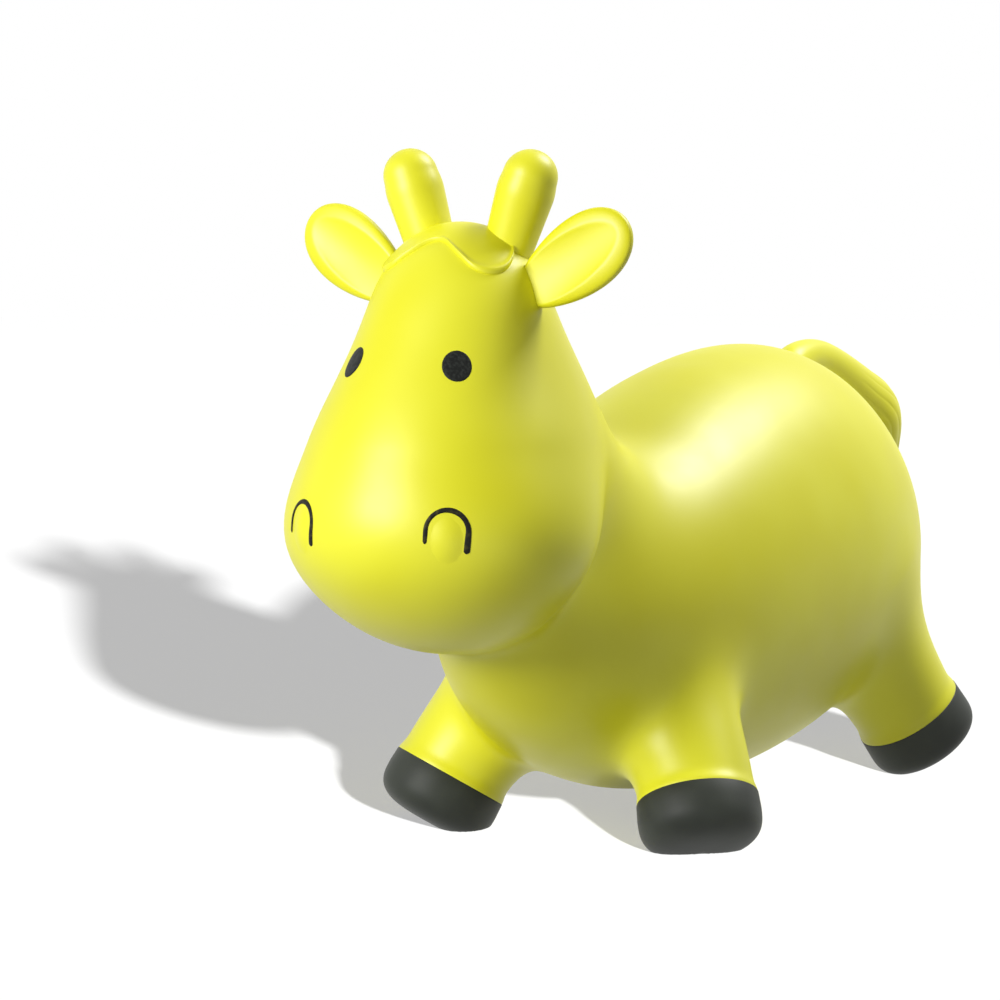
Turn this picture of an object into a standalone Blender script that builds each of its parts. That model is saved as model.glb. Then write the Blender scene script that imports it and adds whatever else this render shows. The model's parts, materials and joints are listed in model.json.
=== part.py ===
"""Bouncy ride-on cow: an inflatable hopper moulded in one soft skin, with a valve in its underside.

The toy faces -Y, stands on Z = 0 and is the same on both sides of X = 0.
The skin is built region by region. Each round region is a UV sphere whose points are moved by a
formula: a body that swells and tapers between a few stations along its long axis.
"""
import math

import bmesh
import bpy
import numpy as np
from mathutils import Matrix, Vector

# Walls and clearances, in metres
WALL = 0.0020
SEAT_GAP = 0.0003
VENT_SHARE = 0.4
RUN_GAP = 0.0004
BALL_GAP = 0.0006
CUT_MARGIN = 0.02
MERGE_DISTANCE = 0.00001

# Torso: half sizes at its fullest station, and how each station shares them, chest to rump
TORSO_HALF_LENGTH = 0.2671
TORSO_HALF_WIDTH = 0.1209
TORSO_RISE = 0.1527
TORSO_DROP = 0.1371
TORSO_SWAY = 0.012
TORSO_CENTRE_Y = 0.0420
BELLY_HEIGHT = 0.0182
TORSO_WIDTH_SHARES = (0.832, 0.865, 0.916, 1.0, 0.993)
TORSO_RISE_SHARES = (0.637, 0.744, 0.908, 1.0, 0.924)
TORSO_DROP_SHARES = (0.850, 0.956, 1.0, 0.969, 0.884)
TORSO_SWAY_SHARES = (-0.99, -0.65, -0.04, 0.375, -0.025)
TORSO_FULLNESS = 2.2

# Head: half sizes, and how each station shares them, jaw to poll
HEAD_HALF_HEIGHT = 0.1282
HEAD_HALF_WIDTH = 0.1159
HEAD_FACE_DEPTH = 0.1041
HEAD_BACK_DEPTH = 0.0961
HEAD_LEAN = 0.0122
HEAD_WIDTH_SHARES = (1.0, 0.942, 0.724, 0.586, 0.714)
HEAD_FACE_SHARES = (1.0, 0.977, 0.849, 0.679, 0.629)
HEAD_BACK_SHARES = (0.990, 1.0, 0.975, 0.869, 0.752)
HEAD_LEAN_SHARES = (-0.32, -0.844, 0.0, 0.63, 1.0)
HEAD_AHEAD_SHARE = 1.12
HEAD_UP_SHARE = 0.725

# Neck: a plain ellipsoid that leans back from the poll to the withers
NECK_RADIUS = 0.0628
NECK_HALF_LENGTH = 0.1131
NECK_TILT_DEGREES = 45.4
NECK_AHEAD_SHARE = 0.756
NECK_UP_SHARE = 0.489
NECK_PASSAGE_SHARE = 0.72

# Forelock: a raised cap over the poll, with a wavy edge given by its height on the head
FORELOCK_THICKNESS = 0.0024
FORELOCK_LIFT = 0.0009
FORELOCK_EDGE_SHARES = (0.94, 0.88, 0.785, 0.79, 0.82, 0.83, 0.83, 0.83)

# Ears: paddles with a dished face, hinged on a round root
EAR_HALF_LENGTH = 0.0426
EAR_HALF_WIDTH = 0.0229
EAR_HALF_THICKNESS = 0.0063
EAR_ROOT_RADIUS = 0.0058
EAR_FLARE_SHARE = 0.22
EAR_ROOT_SHARE = 0.62
EAR_ROOT_WIDTH_SHARE = 0.66
EAR_ROOT_LIFT_SHARE = 0.52
EAR_PLACE_SHARES = (0.697, 0.05, 0.716)
EAR_AXIS_SHARES = (0.837, 0.062, 0.544)
EAR_FACING_SHARES = (0.011, -0.995, 0.096)
EAR_SQUARENESS = 3.0
EAR_DISH_DEPTH = 0.0026
EAR_DISH_LENGTH_SHARE = 0.68
EAR_DISH_WIDTH_SHARE = 0.66
EAR_DISH_ALONG_SHARE = 0.12

# Horns: capsules with a ball root
HORN_ROOT_RADIUS = 0.0163
HORN_TIP_RADIUS = 0.0173
HORN_REACH = 0.0336
HORN_LIFT_SHARE = 0.37
HORN_FLEX_DEGREES = (-15, 0, 15)
HORN_PLACE_SHARES = (0.34, 0.13, 0.931)
HORN_AXIS_SHARES = (0.345, 0.012, 0.939)

# Face paint and nostrils
EYE_HALF_WIDTH = 0.0088
EYE_HALF_HEIGHT = 0.0100
EYE_PLACE_SHARES = (0.511, -0.773, 0.375)
PAINT_THICKNESS = 0.0006
NOSTRIL_PLACE_SHARES = (0.487, -0.797, -0.355)
NOSTRIL_ARCH_RADIUS = 0.0125
NOSTRIL_ARCH_LEG = 0.0105
NOSTRIL_LINE_HALF_WIDTH = 0.0016
NOSTRIL_BUMP_HALF_WIDTH = 0.0080
NOSTRIL_BUMP_HALF_HEIGHT = 0.0125
NOSTRIL_BUMP_HEIGHT = 0.0030
NOSTRIL_BUMP_DROP = 0.0070

# Legs: the hoof and ankle slide up into the leg as the soft leg squashes
HOOF_RADIUS = 0.0380
HOOF_RIM_RADIUS = 0.0372
HOOF_LENGTH = 0.0290
HOOF_DOME = 0.0190
HOOF_SQUARENESS = 3.2
HOOF_WALL = 0.0035
HOOF_FLAT = 0.0020
ANKLE_RADIUS = 0.0355
ANKLE_WALL = 0.0030
ANKLE_HIDDEN = 0.0140
LEG_SQUASH = 0.0200
LEG_RIM_WALL = 0.0020
LEG_WALL = 0.0028
LEG_LENGTH = 0.0950
LEG_FLARE = 0.0160
LEG_FLARE_SHARES = (0.0, 0.05, 0.30, 0.68, 0.95, 1.0, 0.70)
LEG_OUT_SHARE = 0.736
FRONT_HOOF_AHEAD_SHARE = 0.563
REAR_HOOF_BEHIND_SHARE = 0.667
FRONT_LEG_SLOPE_SHARES = (0.40, 0.45)
REAR_LEG_SLOPE_SHARES = (0.42, 0.56)

# Tail: a fat moulded tuft that arches off the rump, hinged on a ball root
TAIL_ROOT_RADIUS = 0.0120
TAIL_RADIUS = 0.0265
TAIL_REACH = 0.1250
TAIL_LIFT_SHARE = 0.45
TAIL_FLEX_DEGREES = (0, 25)
TAIL_PLACE_SHARES = (0.0, 0.592, 0.806)
TAIL_ALONG_SHARES = (0.0, 0.31, 0.73, 0.95, 1.03)
TAIL_UP_SHARES = (0.0, 0.02, -0.19, -0.38, -0.64)
TAIL_RADIUS_SHARES = (0.51, 0.66, 0.94, 1.0, 0.72)

# Valve: a moulded seat in the underside between the hind legs, and its stopper
VALVE_BORE_RADIUS = 0.0052
VALVE_TUBE_WALL = 0.0030
VALVE_TUBE_LENGTH = 0.0120
VALVE_FLANGE_RADIUS = 0.0135
VALVE_FLANGE_HEIGHT = 0.0020
VALVE_SINK = 0.0020
VALVE_PLACE_SHARES = (0.0, 0.847, -0.531)
PLUG_CAP_RADIUS = 0.0105
PLUG_CAP_HEIGHT = 0.0018
PLUG_STEM_LENGTH = 0.0130
PLUG_TIP_RADIUS_SHARE = 0.7
PLUG_TIP_LENGTH_SHARE = 0.5
PLUG_TAB_HEIGHT = 0.0045
PLUG_TAB_LENGTH = 0.0120
PLUG_TAB_THICKNESS = 0.0020

# Fineness of the meshes
TORSO_FINENESS = (28, 20)
HEAD_FINENESS = (24, 18)
FORELOCK_FINENESS = (24, 12)
EAR_FINENESS = (18, 12)
SMALL_FINENESS = (14, 8)
SOCKET_FINENESS = (24, 14)
TAIL_FINENESS = (14, 14)
LINE_FINENESS = (8, 16)
ROUND_STEPS = 20
DOME_POINTS = 7
LINE_END_SHARE = 0.25
TANGENT_STEP_SHARE = 0.01
NORMAL_STEP_SHARE = 0.001

# Colours and roughness: moulded skin, painted hooves, painted face lines, valve
SKIN_COLOUR = (0.83, 0.85, 0.05, 1.0)
HOOF_COLOUR = (0.038, 0.048, 0.040, 1.0)
INK_COLOUR = (0.015, 0.015, 0.018, 1.0)
VALVE_COLOUR = (0.75, 0.78, 0.10, 1.0)
SKIN_ROUGHNESS = 0.38
HOOF_ROUGHNESS = 0.55
INK_ROUGHNESS = 0.6
VALVE_ROUGHNESS = 0.45


def clear_scene():
    """Remove every object of the scene that is open."""
    for item in list(bpy.data.objects):
        bpy.data.objects.remove(item, do_unlink=True)


def new_collection(name):
    """A collection under the scene, made once."""
    group = bpy.data.collections.new(name)
    bpy.context.scene.collection.children.link(group)
    return group


def finish_material(name, colour, roughness):
    """A Principled material of one colour."""
    material = bpy.data.materials.new(name)
    material.use_nodes = True
    shader = material.node_tree.nodes["Principled BSDF"]
    shader.inputs["Base Color"].default_value = colour
    shader.inputs["Roughness"].default_value = roughness
    shader.inputs["Metallic"].default_value = 0.0
    return material


def at_stations(size, shares, place):
    """Size times its shares at evenly spaced stations over -1 to 1, with a cubic between them."""
    values = size*np.array(shares)
    spans = len(values)-1
    along = (np.clip(place, -1, 1)+1)/2*spans
    first = np.clip(along.astype(int), 0, spans-1)
    part = along-first
    ends = np.concatenate([[2*values[0]-values[1]], values, [2*values[-1]-values[-2]]])
    a, b, c, d = ends[first], ends[first+1], ends[first+2], ends[first+3]
    square, cube = part**2, part**3
    return 0.5*(2*b+(c-a)*part+(2*a-5*b+4*c-d)*square+(3*b-a-3*c+d)*cube)


def torso_surface(unit, outward=0.0):
    """Points of the torso for unit directions, moved outward by a distance."""
    across, polar, height = unit[:, 0], unit[:, 1], unit[:, 2]
    along = np.sign(polar)*np.abs(polar)**(2/TORSO_FULLNESS)
    half_width = at_stations(TORSO_HALF_WIDTH, TORSO_WIDTH_SHARES, along)+outward
    rise = at_stations(TORSO_RISE, TORSO_RISE_SHARES, along)+outward
    drop = at_stations(TORSO_DROP, TORSO_DROP_SHARES, along)+outward
    sway = at_stations(TORSO_SWAY, TORSO_SWAY_SHARES, along)
    centre_height = BELLY_HEIGHT+TORSO_DROP
    x = across*half_width
    y = TORSO_CENTRE_Y+along*(TORSO_HALF_LENGTH+outward)
    z = centre_height+sway+height*np.where(height > 0, rise, drop)
    return np.stack([x, y, z], axis=1)


def head_centre():
    """The middle of the head, ahead of the torso and above its middle."""
    y = TORSO_CENTRE_Y-HEAD_AHEAD_SHARE*TORSO_HALF_LENGTH
    z = BELLY_HEIGHT+TORSO_DROP+HEAD_UP_SHARE*TORSO_RISE
    return Vector((0, y, z))


def head_surface(unit, outward=0.0):
    """Points of the head for unit directions, moved outward by a distance."""
    across, depth, polar = unit[:, 0], unit[:, 1], unit[:, 2]
    half_width = at_stations(HEAD_HALF_WIDTH, HEAD_WIDTH_SHARES, polar)+outward
    face = at_stations(HEAD_FACE_DEPTH, HEAD_FACE_SHARES, polar)+outward
    back = at_stations(HEAD_BACK_DEPTH, HEAD_BACK_SHARES, polar)+outward
    lean = at_stations(HEAD_LEAN, HEAD_LEAN_SHARES, polar)
    middle = head_centre()
    x = across*half_width
    y = middle.y+lean+depth*np.where(depth < 0, face, back)
    z = middle.z+polar*(HEAD_HALF_HEIGHT+outward)
    return np.stack([x, y, z], axis=1)


def neck_surface(unit, outward=0.0):
    """Points of the neck for unit directions, moved outward by a distance."""
    tilt = math.radians(NECK_TILT_DEGREES)
    down = np.array([0, math.sin(tilt), -math.cos(tilt)])
    back = np.array([0, math.cos(tilt), math.sin(tilt)])
    side = np.array([1, 0, 0])
    y = TORSO_CENTRE_Y-NECK_AHEAD_SHARE*TORSO_HALF_LENGTH
    z = BELLY_HEIGHT+TORSO_DROP+NECK_UP_SHARE*TORSO_RISE
    centre = np.array([0, y, z])
    radius = NECK_RADIUS+outward
    length = NECK_HALF_LENGTH+outward
    sides = unit[:, :1]*side*radius+unit[:, 1:2]*back*radius
    return centre+sides-unit[:, 2:]*down*length


def unit_vector(shares):
    """A direction of length one from its three shares."""
    direction = np.array(shares, dtype=float)
    return direction/np.linalg.norm(direction)


def mirrored(shares, side):
    """A direction's shares on the left (+1) or right (-1) of the toy."""
    return (shares[0]*side, shares[1], shares[2])


def surface_frame(surface, shares):
    """A place on a surface: its point, outward normal, and the level and rising directions there."""
    direction = unit_vector(shares)
    level = unit_vector(np.cross((0, 0, 1), direction))
    rising = np.cross(direction, level)
    turn = NORMAL_STEP_SHARE
    turns = ((0, 0), (turn, 0), (-turn, 0), (0, turn), (0, -turn))
    tries = np.array([direction+a*level+b*rising for a, b in turns])
    tries /= np.linalg.norm(tries, axis=1, keepdims=True)
    point, beside, aside, above, below = surface(tries)
    across, up = (beside-aside)/(2*turn), (above-below)/(2*turn)
    stretch = np.array([np.linalg.norm(across), np.linalg.norm(up)])
    normal = unit_vector(np.cross(across, up))
    return point, normal, direction, level, rising, stretch


def on_surface(surface, shares, across, up, height):
    """Points at distances across and up from a place on a surface, at a height above it."""
    point, normal, direction, level, rising, stretch = surface_frame(surface, shares)
    turn = np.outer(across/stretch[0], level)+np.outer(up/stretch[1], rising)
    directions = direction+turn
    directions /= np.linalg.norm(directions, axis=1, keepdims=True)
    low = surface(directions)
    raised = surface(directions, outward=SEAT_GAP)
    outward = raised-low
    outward /= np.linalg.norm(outward, axis=1, keepdims=True)
    return low+outward*height[:, None]


def sphere_mesh(name, fineness, along_y=False):
    """A UV sphere of radius one as a mesh, and its points; its poles lie on Z, or on Y."""
    shell = bmesh.new()
    bmesh.ops.create_uvsphere(shell, u_segments=fineness[0], v_segments=fineness[1], radius=1)
    if along_y:
        quarter_turn = Matrix.Rotation(math.pi/2, 3, "X")
        bmesh.ops.rotate(shell, cent=(0, 0, 0), matrix=quarter_turn, verts=shell.verts)
    mesh = bpy.data.meshes.new(name)
    shell.to_mesh(mesh)
    shell.free()
    unit = np.empty(len(mesh.vertices)*3)
    mesh.vertices.foreach_get("co", unit)
    unit = unit.reshape(-1, 3)
    return mesh, unit/np.linalg.norm(unit, axis=1, keepdims=True)


def place_points(mesh, points):
    """Move a mesh's points to new places and shade it smooth."""
    mesh.vertices.foreach_set("co", np.asarray(points, dtype=np.float32).ravel())
    mesh.update()
    mesh.shade_smooth()


def add_object(name, mesh, group, material=None):
    """An object for a mesh, in a collection."""
    item = bpy.data.objects.new(name, mesh)
    group.objects.link(item)
    if material:
        mesh.materials.append(material)
    return item


def add_round_body(name, surface, fineness, group, outward=0.0, along_y=False, material=None):
    """A round body from a sphere and a surface formula."""
    mesh, unit = sphere_mesh(name, fineness, along_y)
    place_points(mesh, surface(unit, outward))
    return add_object(name, mesh, group, material)


def hide_cutter(item):
    """Mark an object as a cutter: shown as wire and left out of the model."""
    item.hide_render = True
    item.display_type = "WIRE"
    return item


def combine(item, other, operation):
    """Join another object to this one, or cut it away, and keep the result as this one's mesh."""
    modifier = item.modifiers.new(operation.lower(), "BOOLEAN")
    modifier.operation = operation
    modifier.object = other
    modifier.solver = "EXACT"
    apply_modifiers(item)


def apply_modifiers(item):
    """Replace an object's mesh by its evaluated one."""
    view = bpy.context.evaluated_depsgraph_get()
    mesh = bpy.data.meshes.new_from_object(item.evaluated_get(view))
    item.modifiers.clear()
    old = item.data
    item.data = mesh
    bpy.data.meshes.remove(old)


def move_origin(item, point):
    """Put an object's origin at a point without moving its shape."""
    shift = Vector(point)-item.location
    item.data.transform(Matrix.Translation(-shift))
    item.location = Vector(point)


def frame_matrix(origin, x_axis, y_axis, z_axis):
    """The matrix of a frame from its origin and three directions."""
    columns = Matrix((x_axis, y_axis, z_axis)).transposed()
    return Matrix.Translation(Vector(origin)) @ columns.to_4x4()


def axis_frame(origin, axis):
    """A frame whose Z lies along an axis and whose X stays level."""
    z_axis = Vector(axis).normalized()
    x_axis = Vector((0, 1, 0)).cross(z_axis).normalized()
    y_axis = z_axis.cross(x_axis)
    return frame_matrix(origin, x_axis, y_axis, z_axis)


def add_turned(name, profile, matrix, group, material=None):
    """A turned solid: a closed profile of (radius, height) points, run up its inner side, and its place."""
    mesh = bpy.data.meshes.new(name)
    points = [(radius, 0, height) for radius, height in profile]
    closed = profile[0][0] > 0
    edges = [(i, i+1) for i in range(len(points)-1)]
    if closed:
        edges.append((len(points)-1, 0))
    mesh.from_pydata(points, edges, [])
    item = add_object(name, mesh, group, material)
    screw = item.modifiers.new("turn", "SCREW")
    screw.steps = ROUND_STEPS
    screw.render_steps = ROUND_STEPS
    screw.use_merge_vertices = True
    screw.merge_threshold = MERGE_DISTANCE
    screw.use_smooth_shade = True
    apply_modifiers(item)
    item.matrix_world = matrix
    return item


def add_cylinder(name, radius, low, high, matrix, group):
    """A plain cylinder between two heights of a frame, as a cutter."""
    shape = bmesh.new()
    bmesh.ops.create_cone(shape, cap_ends=True, segments=ROUND_STEPS, radius1=radius, radius2=radius,
                          depth=high-low)
    bmesh.ops.translate(shape, vec=(0, 0, (high+low)/2), verts=shape.verts)
    mesh = bpy.data.meshes.new(name)
    shape.to_mesh(mesh)
    shape.free()
    item = add_object(name, mesh, group)
    item.matrix_world = matrix
    return item


def add_box(name, sizes, centre, matrix, group, material=None):
    """A box of given sizes about a centre in a frame."""
    shape = bmesh.new()
    bmesh.ops.create_cube(shape, size=1)
    bmesh.ops.scale(shape, vec=sizes, verts=shape.verts)
    bmesh.ops.translate(shape, vec=centre, verts=shape.verts)
    mesh = bpy.data.meshes.new(name)
    shape.to_mesh(mesh)
    shape.free()
    item = add_object(name, mesh, group, material)
    item.matrix_world = matrix
    return item


def add_sausage(name, points, radii, fineness, group, outward=0.0, material=None):
    """A round-ended body about a line of points, with its radius at each point.

    The sphere's rings are spread along the line; the end rings make half balls about its ends.
    """
    mesh, unit = sphere_mesh(name, fineness)
    points = np.array(points, dtype=float)
    radii = np.array(radii, dtype=float)
    middles = (len(points)-1)/2
    first, last = radii[0]+outward, radii[-1]+outward
    run = np.concatenate([[0], np.cumsum(np.linalg.norm(np.diff(points, axis=0), axis=1))])
    total = run[-1]
    along = (1-unit[:, 2])/2*(first+total+last)-first
    station = np.interp(along, run, np.arange(len(points)))/middles-1
    path = np.stack([at_stations(1.0, points[:, k], station) for k in range(3)], axis=1)
    radius = at_stations(1.0, radii, station)+outward
    before, after = np.clip(-along, 0, first), np.clip(along-total, 0, last)
    radius = radius*np.sqrt(1-(before/first)**2)*np.sqrt(1-(after/last)**2)
    nudge = TANGENT_STEP_SHARE/middles
    ahead = np.stack([at_stations(1.0, points[:, k], station+nudge) for k in range(3)], axis=1)
    behind = np.stack([at_stations(1.0, points[:, k], station-nudge) for k in range(3)], axis=1)
    heading = ahead-behind
    heading /= np.linalg.norm(heading, axis=1, keepdims=True)
    path = path+heading*(after-before)[:, None]
    side = np.array([1.0, 0, 0])-heading*heading[:, :1]
    side /= np.linalg.norm(side, axis=1, keepdims=True)
    over = np.cross(side, heading)
    spin = np.arctan2(unit[:, 1], unit[:, 0])
    ring = side*np.cos(spin)[:, None]+over*np.sin(spin)[:, None]
    place_points(mesh, path+ring*radius[:, None])
    return add_object(name, mesh, group, material)


def hollow_out(item, points, radii, fineness, inward, cutters):
    """Make a sausage a shell, open at its root to the air in the body that it grows from."""
    hollow = add_sausage(item.name+"_hollow", points, radii, fineness, cutters, -WALL)
    combine(item, hide_cutter(hollow), "DIFFERENCE")
    vent_matrix = axis_frame(points[0], inward)
    vent = add_cylinder(item.name+"_vent", radii[0]*VENT_SHARE, 0, radii[0]*2, vent_matrix, cutters)
    combine(item, hide_cutter(vent), "DIFFERENCE")


def add_socket(name, points, radii, reach, degrees, fineness, cutters):
    """The room that a ball root and the shaft on it need as they bend about X through these angles.

    It is the convex hull of the ball and of the shaft's points near it, in each bent place.
    """
    root = Vector(points[0])
    hull = bmesh.new()
    mesh, unit = sphere_mesh(name, SOCKET_FINENESS)
    for point in unit*(radii[0]+BALL_GAP+SEAT_GAP):
        hull.verts.new(root+Vector(point))
    shaft = hide_cutter(add_sausage(name+"_shaft", points, radii, fineness, cutters, BALL_GAP))
    offsets = [vertex.co-root for vertex in shaft.data.vertices]
    near = [offset for offset in offsets if offset.length < reach]
    for angle in degrees:
        turn = Matrix.Rotation(math.radians(angle), 3, "X")
        for offset in near:
            hull.verts.new(root+turn @ offset)
    result = bmesh.ops.convex_hull(hull, input=hull.verts, use_existing_faces=False)
    inside = [item for item in result["geom_interior"] if isinstance(item, bmesh.types.BMVert)]
    bmesh.ops.delete(hull, geom=inside, context="VERTS")
    bmesh.ops.recalc_face_normals(hull, faces=hull.faces)
    hull.to_mesh(mesh)
    hull.free()
    return hide_cutter(add_object(name, mesh, cutters))


def build_torso(group, cutters, skin, legs):
    """The torso as a hollow shell, open to the neck, the legs and the valve."""
    torso = add_round_body("torso_skin", torso_surface, TORSO_FINENESS, group, along_y=True, material=skin)
    hollow = add_round_body("torso_hollow", torso_surface, TORSO_FINENESS, cutters, -WALL, True)
    combine(torso, hide_cutter(hollow), "DIFFERENCE")
    passage = add_round_body("neck_passage", neck_surface, HEAD_FINENESS, cutters,
                             -(1-NECK_PASSAGE_SHARE)*NECK_RADIUS)
    combine(torso, hide_cutter(passage), "DIFFERENCE")
    for leg in legs:
        combine(torso, leg["bore"], "DIFFERENCE")
    return torso


def build_head(group, cutters, skin, seat):
    """The head and neck as one hollow shell, cut to sit on the torso."""
    head = add_round_body("head_skin", head_surface, HEAD_FINENESS, group, material=skin)
    neck = add_round_body("neck", neck_surface, HEAD_FINENESS, cutters)
    combine(head, hide_cutter(neck), "UNION")
    hollow = add_round_body("head_hollow", head_surface, HEAD_FINENESS, cutters, -WALL)
    neck_hollow = add_round_body("neck_hollow", neck_surface, HEAD_FINENESS, cutters, -WALL)
    combine(hollow, hide_cutter(neck_hollow), "UNION")
    combine(head, hide_cutter(hollow), "DIFFERENCE")
    combine(head, seat, "DIFFERENCE")
    return head


def forelock_edge(spin):
    """The height share of the forelock's edge for an angle from straight ahead, -pi to pi."""
    both_sides = FORELOCK_EDGE_SHARES[:0:-1]+FORELOCK_EDGE_SHARES
    return at_stations(1.0, both_sides, spin/math.pi)


def build_forelock(group, skin):
    """A cap over the poll whose edge waves: parted in the middle, low over each brow."""
    mesh, _ = sphere_mesh("forelock", FORELOCK_FINENESS)
    shell = bmesh.new()
    shell.from_mesh(mesh)
    half_row = math.sin(math.pi/2/FORELOCK_FINENESS[1])
    low = [vertex for vertex in shell.verts if vertex.co.z < -half_row]
    bmesh.ops.delete(shell, geom=low, context="VERTS")
    shell.to_mesh(mesh)
    shell.free()
    unit = np.empty(len(mesh.vertices)*3)
    mesh.vertices.foreach_get("co", unit)
    unit = unit.reshape(-1, 3)
    polar = np.arccos(np.clip(unit[:, 2], -1, 1))
    spin = np.arctan2(unit[:, 0], -unit[:, 1])
    edge = np.arccos(forelock_edge(spin))
    new_polar = polar/(math.pi/2)*edge
    flat = np.sin(new_polar)
    directions = np.stack([np.sin(spin)*flat, -np.cos(spin)*flat, np.cos(new_polar)], axis=1)
    place_points(mesh, head_surface(directions, FORELOCK_LIFT))
    cap = add_object("forelock", mesh, group, skin)
    solid = cap.modifiers.new("thickness", "SOLIDIFY")
    solid.thickness = FORELOCK_THICKNESS
    solid.offset = 1
    apply_modifiers(cap)
    return cap


def build_pad(name, surface, shares, half_width, half_height, drop, height, group, material):
    """An oval pad that lies on a surface: flat beneath, domed to a height above."""
    mesh, unit = sphere_mesh(name, SMALL_FINENESS)
    across = unit[:, 0]*half_width
    up = unit[:, 1]*half_height-drop
    rise = SEAT_GAP+np.clip(unit[:, 2], 0, 1)*height
    place_points(mesh, on_surface(surface, shares, across, up, rise))
    return add_object(name, mesh, group, material)


def build_arch(name, shares, side, group, material):
    """A painted line over a nostril, shaped like an upturned U."""
    mesh, unit = sphere_mesh(name, LINE_FINENESS, along_y=True)
    length = math.pi*NOSTRIL_ARCH_RADIUS+2*NOSTRIL_ARCH_LEG
    along = (1-unit[:, 1])/2*length
    spread = np.sqrt(np.clip(1-unit[:, 1]**2, 0, 1))
    spin = np.arctan2(unit[:, 2], unit[:, 0])
    rounding = np.clip(spread/LINE_END_SHARE, 0, 1)
    offset = np.cos(spin)*rounding*NOSTRIL_LINE_HALF_WIDTH
    turn = np.clip((along-NOSTRIL_ARCH_LEG)/NOSTRIL_ARCH_RADIUS, 0, math.pi)
    radius = NOSTRIL_ARCH_RADIUS+offset
    before = np.clip(NOSTRIL_ARCH_LEG-along, 0, None)
    after = np.clip(along-length+NOSTRIL_ARCH_LEG, 0, None)
    across = -np.cos(turn)*radius
    up = np.sin(turn)*radius-before-after
    rise = SEAT_GAP+np.clip(np.sin(spin), 0, 1)*rounding*PAINT_THICKNESS
    place_points(mesh, on_surface(head_surface, mirrored(shares, side), across, up, rise))
    return add_object(name, mesh, group, material)


def build_ear(side, group, cutters, skin):
    """A paddle ear with a dished face and a round root that it bends on."""
    name = "ear_left" if side > 0 else "ear_right"
    point, normal, *_ = surface_frame(head_surface, mirrored(EAR_PLACE_SHARES, side))
    axis = Vector(unit_vector(mirrored(EAR_AXIS_SHARES, side)))
    facing = Vector(unit_vector(mirrored(EAR_FACING_SHARES, side)))
    facing = (facing-axis*facing.dot(axis)).normalized()
    root = Vector(point)+Vector(normal)*EAR_ROOT_RADIUS*EAR_ROOT_LIFT_SHARE
    centre = root+axis*EAR_HALF_LENGTH*EAR_ROOT_SHARE
    matrix = frame_matrix(centre, axis, facing.cross(axis), facing)
    mesh, unit = sphere_mesh(name, EAR_FINENESS)
    flat = np.hypot(unit[:, 0], unit[:, 1])
    scale = (flat**EAR_SQUARENESS+np.abs(unit[:, 2])**EAR_SQUARENESS)**(1/EAR_SQUARENESS)
    square = unit/scale[:, None]
    x = square[:, 0]*EAR_HALF_LENGTH
    y = square[:, 1]*EAR_HALF_WIDTH*(1+EAR_FLARE_SHARE*square[:, 0])
    z = square[:, 2]*EAR_HALF_THICKNESS
    place_points(mesh, np.stack([x, y, z], axis=1))
    ear = add_object(name, mesh, group, skin)
    ear.matrix_world = matrix
    reach = EAR_HALF_LENGTH*EAR_ROOT_SHARE
    block = EAR_HALF_LENGTH
    root_cut = add_box(name+"_root_cut", (block, block*2, block), (-reach-block/2, 0, 0), matrix, cutters)
    combine(ear, hide_cutter(root_cut), "DIFFERENCE")
    dish_mesh, dish_unit = sphere_mesh(name+"_dish", EAR_FINENESS)
    dish_sizes = np.array([EAR_HALF_LENGTH*EAR_DISH_LENGTH_SHARE, EAR_HALF_WIDTH*EAR_DISH_WIDTH_SHARE,
                           EAR_DISH_DEPTH])
    dish_centre = np.array([EAR_HALF_LENGTH*EAR_DISH_ALONG_SHARE, 0, EAR_HALF_THICKNESS])
    place_points(dish_mesh, dish_unit*dish_sizes+dish_centre)
    dish = add_object(name+"_dish", dish_mesh, cutters)
    dish.matrix_world = matrix
    combine(ear, hide_cutter(dish), "DIFFERENCE")
    half_root = EAR_HALF_WIDTH*EAR_ROOT_WIDTH_SHARE
    across = facing.cross(axis)
    ends = [root+across*half_root*share for share in (-1, 0, 1)]
    bead = add_sausage(name+"_root", ends, [EAR_ROOT_RADIUS]*3, SMALL_FINENESS, cutters)
    combine(ear, hide_cutter(bead), "UNION")
    move_local_origin(ear, root)
    socket = add_sausage(name+"_socket", ends, [EAR_ROOT_RADIUS]*3, SMALL_FINENESS, cutters, RUN_GAP)
    return ear, hide_cutter(socket)


def move_local_origin(item, point):
    """Put the origin of a placed object at a world point, with no rotation left on it."""
    item.data.transform(item.matrix_world)
    item.matrix_world = Matrix.Identity(4)
    move_origin(item, point)


def build_horn(side, group, cutters, skin):
    """A capsule horn on a ball root."""
    name = "horn_left" if side > 0 else "horn_right"
    point, normal, *_ = surface_frame(head_surface, mirrored(HORN_PLACE_SHARES, side))
    root = Vector(point)+Vector(normal)*HORN_ROOT_RADIUS*HORN_LIFT_SHARE
    axis = Vector(unit_vector(mirrored(HORN_AXIS_SHARES, side)))
    ends = [root+axis*HORN_REACH*share for share in (0, 0.5, 1)]
    middle_radius = (HORN_ROOT_RADIUS+HORN_TIP_RADIUS)/2
    radii = [HORN_ROOT_RADIUS, middle_radius, HORN_TIP_RADIUS]
    horn = add_sausage(name, ends, radii, SMALL_FINENESS, group, material=skin)
    hollow_out(horn, ends, radii, SMALL_FINENESS, -Vector(normal), cutters)
    move_origin(horn, root)
    socket = add_socket(name+"_socket", ends, radii, HORN_REACH*2, HORN_FLEX_DEGREES, SMALL_FINENESS, cutters)
    return horn, socket


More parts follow.
